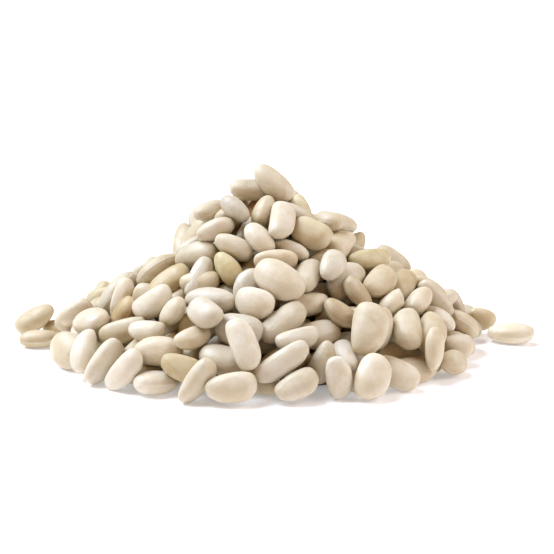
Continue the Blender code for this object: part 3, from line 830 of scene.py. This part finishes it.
@dataclass(frozen=True)
class SkinFinish:
    """The seed coat of a dried bean: a thin satin skin over a solid pale seed.

    It gives the eye a soft sheen without a mirror spot, a body colour that drifts a
    little over each bean, faint veins that run its length, a pale line along the seam
    of its back and, on a few beans, a small brown scar, the hilum, in the middle of the
    hollow side. Real veins are finer, and are drawn as coarse as they need to show.

    Half_mm is half the size of the middling bean, and turns a place on any bean into
    millimetres. Own_step_mm shifts the patterns so far from bean to bean that no two are
    alike. The seam is near by the distance from its plane, the scar by shares of its own
    size, and the two sides go by the place across the bean. A scar shows on the beans
    whose number from 0 to 1 is over scarred. The rises are in shares of the wrinkles'.
    """

    name: str
    body: str
    shade: str
    vein: str = "B8A584"
    seam: str = "E9E2D2"
    scar: str = "8C7050"
    ior: float = 1.48
    translucency: float = 0.25
    light_depth: float = 1.5 * MM
    light_reach: tuple[float, float, float] = (1.0, 0.6, 0.3)
    half_mm: tuple[float, float, float] = (7.5, 4.45, 3.35)
    own_step_mm: tuple[float, float, float] = (97.0, 53.0, 31.0)

    mottle: Grain = Grain(5.0, 3.0)
    patches: Ease = Ease(0.35, 0.68)
    roughness: Ease = Ease(0.3, 0.7, 0.42, 0.54)
    own_value: Ease = Ease(-1.0, 1.0, 0.93, 1.06)
    own_saturation: Ease = Ease(-1.0, 1.0, 0.92, 1.10)

    streaks: Grain = Grain(0.7, 2.0)
    drawn_out: tuple[float, float, float] = (0.12, 1.0, 1.0)
    middle_noise: float = 0.5
    vein_share: Ease = Ease(0.0, 0.09, 0.11, 0.0)

    near_seam: Ease = Ease(0.05, 0.5, 1.0, 0.0)
    back_side: Ease = Ease(-1.5, 0.5, 1.0, 0.0)
    seam_share: Ease = Ease(0.0, 1.0, 0.0, 0.35)

    scarred: float = 0.983
    scar_mm: tuple[float, float] = (1.25, 0.6)
    near_scar: Ease = Ease(0.7, 1.15, 1.0, 0.0)
    hollow_side: Ease = Ease(1.0, 2.0)
    scar_share: Ease = Ease(0.0, 1.0, 0.0, 0.6)

    wrinkles: Grain = Grain(2.6, 2.0)
    wrinkle_depth: float = 0.23 * MM
    vein_rise: float = 0.35
    seam_rise: float = 0.35
    scar_rise: float = -0.9

    def material(self) -> bpy.types.Material:
        """Make the material.

        Returns:
            A material that reads the attributes bean_place and bean_nature.
        """
        material = bpy.data.materials.new(self.name)
        material.use_nodes = True
        tree = material.node_tree
        tree.nodes.clear()

        place = add_node(tree, "ShaderNodeAttribute", attribute_name="bean_place")
        nature = add_node(tree, "ShaderNodeAttribute", attribute_name="bean_nature")
        natures = add_node(tree, "ShaderNodeSeparateXYZ", {0: nature.outputs["Vector"]}).outputs
        in_mm = add_node(tree, "ShaderNodeVectorMath", {0: place.outputs["Vector"], 1: self.half_mm},
                         operation="MULTIPLY").outputs[0]
        own = add_node(tree, "ShaderNodeVectorMath", {0: natures["Z"], 1: self.own_step_mm, 2: in_mm},
                       operation="MULTIPLY_ADD").outputs[0]

        mottle = add_node(tree, "ShaderNodeTexNoise", self.mottle.inputs(own)).outputs[0]
        wrinkles = add_node(tree, "ShaderNodeTexNoise", self.wrinkles.inputs(own)).outputs[0]
        veins = self.veins(tree, own)
        seam, scar = self.marks(tree, in_mm, natures["Z"])
        patches, seam_share, scar_share, roughness, value, saturation = (
            add_node(tree, "ShaderNodeMapRange", ease.inputs(source),
                     interpolation_type="SMOOTHSTEP").outputs[0]
            for source, ease in ((mottle, self.patches), (seam, self.seam_share),
                                 (scar, self.scar_share), (mottle, self.roughness),
                                 (natures["X"], self.own_value), (natures["Y"], self.own_saturation)))

        colour = linear(self.body)
        for share, tone in ((patches, self.shade), (veins, self.vein),
                            (seam_share, self.seam), (scar_share, self.scar)):
            colour = add_node(tree, "ShaderNodeMix", {"Factor": share, 6: colour, 7: linear(tone)},
                              data_type="RGBA").outputs[2]
        toned = add_node(tree, "ShaderNodeHueSaturation",
                         {"Color": colour, "Value": value, "Saturation": saturation})

        height = wrinkles
        for mark, rise in ((veins, self.vein_rise), (seam, self.seam_rise), (scar, self.scar_rise)):
            height = add_node(tree, "ShaderNodeMath", {0: mark, 1: rise, 2: height},
                              operation="MULTIPLY_ADD").outputs[0]
        relief = add_node(tree, "ShaderNodeBump",
                          {"Height": height, "Distance": self.wrinkle_depth, "Strength": 1.0})

        shader = add_node(tree, "ShaderNodeBsdfPrincipled",
                          {"Base Color": toned.outputs["Color"], "Roughness": roughness,
                           "IOR": self.ior, "Subsurface Weight": self.translucency,
                           "Subsurface Radius": self.light_reach,
                           "Subsurface Scale": self.light_depth, "Normal": relief.outputs[0]})
        add_node(tree, "ShaderNodeOutputMaterial", {"Surface": shader.outputs[0]})
        return material

    def veins(self, tree: bpy.types.NodeTree, own: bpy.types.NodeSocket) -> bpy.types.NodeSocket:
        """Draw the fine veins that run along a bean.

        Args:
            tree: The material's nodes.
            own: The place on the bean in millimetres, moved by a step of its own.

        Returns:
            How much of a vein shows, at most about a ninth.
        """
        drawn_out = add_node(tree, "ShaderNodeVectorMath", {0: own, 1: self.drawn_out},
                             operation="MULTIPLY")
        streaks = add_node(tree, "ShaderNodeTexNoise", self.streaks.inputs(drawn_out.outputs[0]))
        aside = add_node(tree, "ShaderNodeMath", {0: streaks.outputs[0], 1: self.middle_noise},
                         operation="SUBTRACT")
        away = add_node(tree, "ShaderNodeMath", {0: aside.outputs[0]}, operation="ABSOLUTE")
        return add_node(tree, "ShaderNodeMapRange", self.vein_share.inputs(away.outputs[0]),
                        interpolation_type="SMOOTHSTEP").outputs[0]

    def marks(self, tree: bpy.types.NodeTree, in_mm: bpy.types.NodeSocket,
              chance: bpy.types.NodeSocket) -> tuple[bpy.types.NodeSocket, bpy.types.NodeSocket]:
        """Draw the seam along a bean's back, and on a few beans the scar in the hollow side.

        Args:
            tree: The material's nodes.
            in_mm: The place on the bean in millimetres.
            chance: The bean's own number from 0 to 1, which says whether its scar shows.

        Returns:
            The seam and the scar, from 0 to 1.
        """
        x, y, z = add_node(tree, "ShaderNodeSeparateXYZ", {0: in_mm}).outputs
        off_seam = add_node(tree, "ShaderNodeMath", {0: z}, operation="ABSOLUTE").outputs[0]
        in_scars = [add_node(tree, "ShaderNodeMath", {0: aside, 1: reach}, operation="DIVIDE").outputs[0]
                    for aside, reach in zip((x, z), self.scar_mm)]
        stretched = add_node(tree, "ShaderNodeCombineXYZ", dict(enumerate(in_scars))).outputs[0]
        off_scar = add_node(tree, "ShaderNodeVectorMath", {0: stretched},
                            operation="LENGTH").outputs["Value"]
        marks = []
        for away, near, side in ((off_seam, self.near_seam, self.back_side),
                                 (off_scar, self.near_scar, self.hollow_side)):
            shares = [add_node(tree, "ShaderNodeMapRange", ease.inputs(source),
                               interpolation_type="SMOOTHSTEP").outputs[0]
                      for source, ease in ((away, near), (y, side))]
            marks.append(add_node(tree, "ShaderNodeMath", dict(enumerate(shares)),
                                  operation="MULTIPLY").outputs[0])
        seam, scar = marks
        shows = add_node(tree, "ShaderNodeMath", {0: chance, 1: self.scarred},
                         operation="GREATER_THAN").outputs[0]
        scar = add_node(tree, "ShaderNodeMath", {0: scar, 1: shows}, operation="MULTIPLY").outputs[0]
        return seam, scar


SKINS = {
    Tint.IVORY: SkinFinish("ivory_seed_coat", body="DED5C2", shade="D6CAB1"),
    Tint.CREAM: SkinFinish("cream_seed_coat", body="DACFB8", shade="D0C2A5"),
    Tint.BUFF: SkinFinish("buff_seed_coat", body="D4C7AA", shade="C8B793"),
    Tint.PALE_GREY: SkinFinish("pale_grey_seed_coat", body="D2C8B3", shade="C7BBA1"),
    Tint.YELLOWED: SkinFinish("yellowed_seed_coat", body="DACEAA", shade="CEBD90"),
    Tint.TAN: SkinFinish("tan_seed_coat", body="CCBA99", shade="BBA57F"),
}


@dataclass(frozen=True)
class Sculptor:
    """Shapes each bean unevenly: a narrower end, dents and swellings, a notched scar.

    The taper is by how much one end may be wider than the middle, as a share. A dent
    with a depth below zero is a swelling, and widths are in radians. The chip breaks a
    bean off at a share of its half length, square to its slant.
    """

    seed: int = 23
    cage_cuts: int = 2
    smoothing: int = 2
    bluntness: tuple[float, float] = (1.92, 2.25)
    taper: float = 0.15
    dents: int = 5
    dent_depth: tuple[float, float] = (-0.32 * MM, 0.48 * MM)
    dent_width: tuple[float, float] = (0.40, 0.75)
    notch_depth: float = 0.25 * MM
    notch_width: float = 0.45
    chip_at: float = 0.45
    chip_slant: tuple[float, float, float] = (0.86, 0.35, 0.37)

    def cage(self) -> tuple[bmesh.types.BMesh, np.ndarray]:
        """Make the few-sided cage that every bean starts from.

        Returns:
            The mesh of the cage, and its points moved to a sphere of radius 1.
        """
        bm = bmesh.new()
        bmesh.ops.create_cube(bm, size=2.0)
        bmesh.ops.subdivide_edges(bm, edges=bm.edges, cuts=self.cage_cuts, use_grid_fill=True)
        for vert in bm.verts:
            vert.co.normalize()
        bm.verts.ensure_lookup_table()
        return bm, np.array([vert.co for vert in bm.verts])

    def smooth(self, piece: bpy.types.Object) -> None:
        """Give a piece the modifier that rounds its cages off.

        Args:
            piece: The piece, made of cages.
        """
        rounding = piece.modifiers.new("smooth_form", "SUBSURF")
        rounding.levels = self.smoothing
        rounding.render_levels = self.smoothing

    def pull_of_cage(self) -> np.ndarray:
        """Find how the smooth surface follows the points of the cage.

        Returns:
            A row for each point of the smooth surface, with the share that each point
            of the cage has in it. The first rows are those of the cage's own points.
        """
        bm, unit = self.cage()
        probe = new_object("probe", bm)
        self.smooth(probe)
        columns = []
        for start in range(0, len(unit), 3):
            for vert in probe.data.vertices:
                vert.co = [float(vert.index == start + axis) for axis in range(3)]
            probe.data.update()
            evaluated = probe.evaluated_get(bpy.context.evaluated_depsgraph_get())
            columns.append(np.array([vert.co for vert in evaluated.data.vertices]))
        bpy.data.objects.remove(probe)
        return np.hstack(columns)[:, :len(unit)]

    def dented(self, local: np.ndarray, unit: np.ndarray, half: np.ndarray, spot: np.ndarray,
               depth: np.ndarray, width: np.ndarray) -> np.ndarray:
        """Press one dent into each bean.

        Args:
            local: The points of every bean, in its own axes.
            unit: The same points on the sphere.
            half: Each bean's half sizes.
            spot: Where on the sphere each bean's dent lies.
            depth: How deep each dent is, below zero for a swelling.
            width: How wide each dent is, in radians on the sphere.

        Returns:
            The moved points.
        """
        outward = unit[None] / half[:, None]
        outward /= np.linalg.norm(outward, axis=2, keepdims=True)
        near = np.exp((np.einsum("kj,nj->nk", unit, spot) - 1) / width[:, None] ** 2)
        return local - outward * (near * depth[:, None])[..., None]

    def shaped(self, beans: Beans, unit: np.ndarray) -> np.ndarray:
        """Give every bean its own uneven shape.

        Args:
            beans: The pile.
            unit: The cage's points on the sphere.

        Returns:
            The cage's points for every bean, in its own axes.
        """
        rng = random.Random(self.seed)
        count = len(beans.centre)
        bluntness = [rng.uniform(*self.bluntness) for _ in range(count)]
        taper = [rng.uniform(-self.taper, self.taper) for _ in range(count)]
        for index, seen in enumerate(SEEN_BEANS):
            if seen.ends:
                bluntness[index], taper[index] = seen.ends.value
        local = np.concatenate([
            BeanForm(bluntness=blunt).surface(unit, beans.half[[index]], beans.bend[[index]])
            for index, blunt in enumerate(bluntness)])
        swelling = 1 + np.array(taper)[:, None] * local[:, :, 0] / beans.half[:, None, 0]
        local = local * np.stack([np.ones_like(swelling), swelling, swelling], -1)
        for _ in range(self.dents):
            spot = np.array([[rng.gauss(0, 1) for _ in range(3)] for _ in range(count)])
            spot /= np.linalg.norm(spot, axis=1, keepdims=True)
            depth = np.array([rng.uniform(*self.dent_depth) for _ in range(count)])
            width = np.array([rng.uniform(*self.dent_width) for _ in range(count)])
            local = self.dented(local, unit, beans.half, spot, depth, width)
        hollow_side = np.tile([0.0, 1.0, 0.0], (count, 1))
        local = self.dented(local, unit, beans.half, hollow_side,
                            np.full(count, self.notch_depth), np.full(count, self.notch_width))
        local[CHIPPED] = self.chipped(local[CHIPPED], beans.half[CHIPPED])
        return local

    def chipped(self, local: np.ndarray, half: np.ndarray) -> np.ndarray:
        """Break one end off a bean on a slant.

        Args:
            local: The bean's points, in its own axes.
            half: Its half sizes.

        Returns:
            The points, those of the end moved back onto the break.
        """
        slant = np.array(self.chip_slant)
        over = local @ slant - self.chip_at * half[0]
        return local - slant * np.maximum(over, 0.0)[:, None]


@dataclass
class HeapOfBeans:
    """The beans of the heap and the bean beside it, one joined piece for each tint."""

    beans: Beans
    sculptor: Sculptor = Sculptor()
    seed: int = 41
    tints: list[Tint] = field(default_factory=list)
    natures: list[tuple[float, float, float]] = field(default_factory=list)
    local: np.ndarray | None = None
    cages: np.ndarray | None = None

    def prepare(self) -> None:
        """Deal out the tints and natures, shape the beans and stand them on the floor."""
        rng = random.Random(self.seed)
        count = len(self.beans.centre)
        deck = [tint for tint, share in TINT_SHARES.items() for _ in range(math.ceil(share * count))]
        rng.shuffle(deck)
        told = [seen.tint for seen in SEEN_BEANS] + [None] * (count - len(SEEN_BEANS))
        self.tints = [tint or dealt for tint, dealt in zip(told, deck)]
        self.natures = [(rng.uniform(-1, 1), rng.uniform(-1, 1), rng.random()) for _ in range(count)]

        cage, unit = self.sculptor.cage()
        cage.free()
        self.local = self.sculptor.shaped(self.beans, unit)
        pull = self.sculptor.pull_of_cage()
        self.cages = np.linalg.solve(pull[:len(unit)], self.beans.place(self.local))
        lowest = (pull @ self.cages)[:, :, 2].min(1)
        self.cages[:, :, 2] += np.maximum(0.0, -lowest)[:, None]

    def joined(self, name: str, which: list[int], skin: bpy.types.Material) -> bpy.types.Object:
        """Join beans into one piece.

        Args:
            name: The piece's name.
            which: The numbers of its beans.
            skin: Its material.

        Returns:
            The piece, which rides on the body.
        """
        cage, unit = self.sculptor.cage()
        bm = bmesh.new()
        verts = [bm.verts.new(point) for index in which for point in self.cages[index]]
        for order in range(len(which)):
            start = order * len(unit)
            for face in cage.faces:
                bm.faces.new([verts[start + vert.index] for vert in face.verts])
        cage.free()
        piece = new_object(name, bm)
        places = self.local[which] / self.beans.half[which][:, None]
        natures = np.repeat(np.array([self.natures[index] for index in which]), len(unit), axis=0)
        for attribute, rows in (("bean_place", places), ("bean_nature", natures)):
            layer = piece.data.attributes.new(attribute, "FLOAT_VECTOR", "POINT")
            layer.data.foreach_set("vector", np.ascontiguousarray(rows, np.float32).ravel())
        self.sculptor.smooth(piece)
        piece.data.materials.append(skin)
        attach(piece, BODY)
        return piece

    def build(self) -> list[bpy.types.Object]:
        """Build the pieces of the heap and the bean beside it.

        Returns:
            The pieces, that of the bean beside the heap last.
        """
        self.prepare()
        skins = {tint: finish.material() for tint, finish in SKINS.items()}
        heap_beans = range(len(LOOSE), len(self.beans.centre))
        pieces = []
        for tint in Tint:
            which = [index for index in heap_beans if self.tints[index] is tint]
            piece = self.joined(tint.value, which, skins[tint])
            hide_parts("bean_heap")
            pieces.append(piece)
        stray = self.joined("stray_bean", list(range(len(LOOSE))), skins[self.tints[0]])
        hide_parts("loose_bean")
        return pieces + [stray]


@dataclass(frozen=True)
class HeapCore:
    """The inside of the heap, a low dome with a raised tip on which the inner beans lie.

    It shows only as brown painted shade in the deepest gaps, where the real heap has more
    beans. Its colour is painted shade in bean-sized patches, from a skin in shade to the
    darker shade between beans, which is full at the share all_shade of a patch from its
    middle. The dome is the mound made smaller by the share, out to the share foot of its
    reach, and points closer than merge_dist of its radius are merged.
    """

    mound: Mound = Mound()
    share: float = 0.69
    foot: float = 0.93
    # The raised tip lifts the dome into the gap under the crest, where it shows as painted shade.
    tip_rise: float = 12.0 * MM
    tip_radius: float = 9.0 * MM
    rings: int = 10
    spokes: int = 48
    least_height: float = 1.0 * MM
    # Both colours are painted shade: colour is that of a skin in shade, between that of the deep shade
    # between beans.
    colour: str = "C8A87C"
    between: str = "6B4A2A"
    roughness: float = 0.7
    patch: float = 9.0 * MM
    all_shade: float = 0.7
    merge_dist: float = 0.001

    def material(self) -> bpy.types.Material:
        """Make the painted shade of the deepest gaps: patches of skin in shade, darker between them.

        Returns:
            The material.
        """
        material = bpy.data.materials.new("painted_shade_seed_coat")
        material.use_nodes = True
        tree = material.node_tree
        shader = tree.nodes["Principled BSDF"]
        where = add_node(tree, "ShaderNodeTexCoord")
        # Bean-sized patches of painted shade, darkest at their edges, between the beans.
        cells = add_node(tree, "ShaderNodeTexVoronoi",
                         {"Vector": where.outputs["Object"], "Scale": 1 / self.patch})
        between = add_node(tree, "ShaderNodeMapRange",
                           {"Value": cells.outputs["Distance"], "From Max": self.all_shade})
        mix = add_node(tree, "ShaderNodeMix",
                       {"Factor": between.outputs[0], 6: linear(self.colour), 7: linear(self.between)},
                       data_type="RGBA")
        tree.links.new(mix.outputs[2], shader.inputs["Base Color"])
        shader.inputs["Roughness"].default_value = self.roughness
        return material

    def build(self) -> bpy.types.Object:
        """Build the dome.

        Returns:
            The piece.
        """
        bm = bmesh.new()
        profile = [bm.verts.new((ring / self.rings, 0, 1)) for ring in range(self.rings + 1)]
        profile.append(bm.verts.new((1, 0, 0)))
        profile.append(bm.verts.new((0, 0, 0)))
        edges = [bm.edges.new(ends) for ends in zip(profile, profile[1:])]
        bmesh.ops.spin(bm, geom=profile + edges, cent=(0, 0, 0), axis=(0, 0, 1),
                       angle=math.tau, steps=self.spokes, use_merge=True)
        bmesh.ops.remove_doubles(bm, verts=bm.verts, dist=self.merge_dist)
        bmesh.ops.recalc_face_normals(bm, faces=bm.faces)
        reach = self.share * self.foot
        for vert in bm.verts:
            aside = vert.co.x * float(self.mound.side_reach(vert.co.x)) * reach
            along = vert.co.y * self.mound.deep_reach * reach
            x, y = self.mound.apex[0] + aside, self.mound.apex[1] + along
            height = float(self.mound.top(np.array(x), np.array(y), self.share)[0])
            height += self.tip_rise * math.exp(-(aside**2 + along**2) / self.tip_radius**2)
            vert.co = (x, y, vert.co.z * max(height, self.least_height))
        piece = new_object("heap_core", bm)
        piece.data.materials.append(self.material())
        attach(piece, BODY)
        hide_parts("bean_heap")
        return piece


@dataclass(frozen=True)
class Floor:
    """The pale seamless surface that the heap lies on.

    White card is matt and even, with no highlight. A faint light of its own stands for
    the light that a bright studio throws back under the heap.
    """

    reach: float = 9.0
    colour: str = "F5F1EF"
    roughness: float = 0.6
    glow: float = 0.26
    glow_colour: str = "E4ECF5"

    def build(self) -> bpy.types.Object:
        """Build the floor.

        Returns:
            The floor.
        """
        bm = bmesh.new()
        bmesh.ops.create_grid(bm, x_segments=1, y_segments=1, size=self.reach)
        floor = new_object("floor", bm)
        material = bpy.data.materials.new("white_card")
        material.use_nodes = True
        shader = material.node_tree.nodes["Principled BSDF"]
        shader.inputs["Base Color"].default_value = linear(self.colour)
        shader.inputs["Roughness"].default_value = self.roughness
        shader.inputs["Emission Color"].default_value = linear(self.glow_colour)
        shader.inputs["Emission Strength"].default_value = self.glow
        floor.data.materials.append(material)
        return floor


class Lamp(NamedTuple):
    """A broad far light: its name, heading, height, strength, apparent size and colour.

    The heading is the side that it shines from, in degrees from the front towards the
    right, the height is in degrees over the floor, and the size is in degrees too.
    """

    name: str
    heading: float
    height: float
    strength: float
    breadth: float
    colour: str


@dataclass(frozen=True)
class StudioLight:
    """Plain soft light: a broad key from above on the left, a weaker one from the right."""

    lamps: tuple[Lamp, ...] = (
        Lamp("key_softbox", -108, 55, 4.35, 46, "DCECFF"),
        Lamp("side_softbox", 85, 35, 1.55, 50, "EEF5FF"),
    )
    room: float = 0.25
    room_colour: str = "FFC286"

    def build(self) -> None:
        """Set up the lamps and the even light of the room."""
        for lamp in self.lamps:
            light = bpy.data.lights.new(lamp.name, "SUN")
            light.energy = lamp.strength
            light.angle = math.radians(lamp.breadth)
            light.color = linear(lamp.colour)[:3]
            turn, rise = math.radians(lamp.heading), math.radians(lamp.height)
            towards = Vector((math.sin(turn) * math.cos(rise), -math.cos(turn) * math.cos(rise),
                              math.sin(rise)))
            holder = bpy.data.objects.new(lamp.name, light)
            holder.location = towards
            holder.rotation_mode = "QUATERNION"
            holder.rotation_quaternion = towards.to_track_quat("Z", "Y")
            bpy.context.scene.collection.objects.link(holder)
        world = bpy.data.worlds.new("studio_room")
        world.use_nodes = True
        background = world.node_tree.nodes["Background"]
        background.inputs["Color"].default_value = linear(self.room_colour)
        background.inputs["Strength"].default_value = self.room
        bpy.context.scene.world = world


@dataclass(frozen=True)
class Viewpoint:
    """The camera at the photograph's angle, its lens that of the front view to the millimetre."""

    view: FrontView = FrontView()
    lens_mm: float = 92.0
    sensor_mm: float = 36.0

    def build(self) -> None:
        """Place the camera and set a plain rendering of the colours."""
        camera = bpy.data.cameras.new("front_camera")
        camera.lens = self.lens_mm
        camera.sensor_width = self.sensor_mm
        holder = bpy.data.objects.new("front_camera", camera)
        ahead = Vector(self.view.axes()[2])
        holder.location = Vector(self.view.aim) - ahead * self.view.distance
        holder.rotation_mode = "QUATERNION"
        holder.rotation_quaternion = ahead.to_track_quat("-Z", "Y")
        bpy.context.scene.collection.objects.link(holder)
        bpy.context.scene.camera = holder
        bpy.context.scene.view_settings.view_transform = "Standard"
        bpy.context.scene.view_settings.look = "Medium High Contrast"


def main() -> None:
    """Build the heap, its floor, light and camera, and report each piece."""
    logging.basicConfig(level=logging.INFO, format="%(message)s")
    beans = Settling().settled()
    log.info("settled %d beans", len(beans.centre))
    pieces = HeapOfBeans(beans).build()
    pieces.append(HeapCore().build())
    for piece in pieces:
        log.info("%s: %d faces before smoothing", piece.name, len(piece.data.polygons))
    Floor().build()
    StudioLight().build()
    Viewpoint().build()


if __name__ == "__main__":
    main()
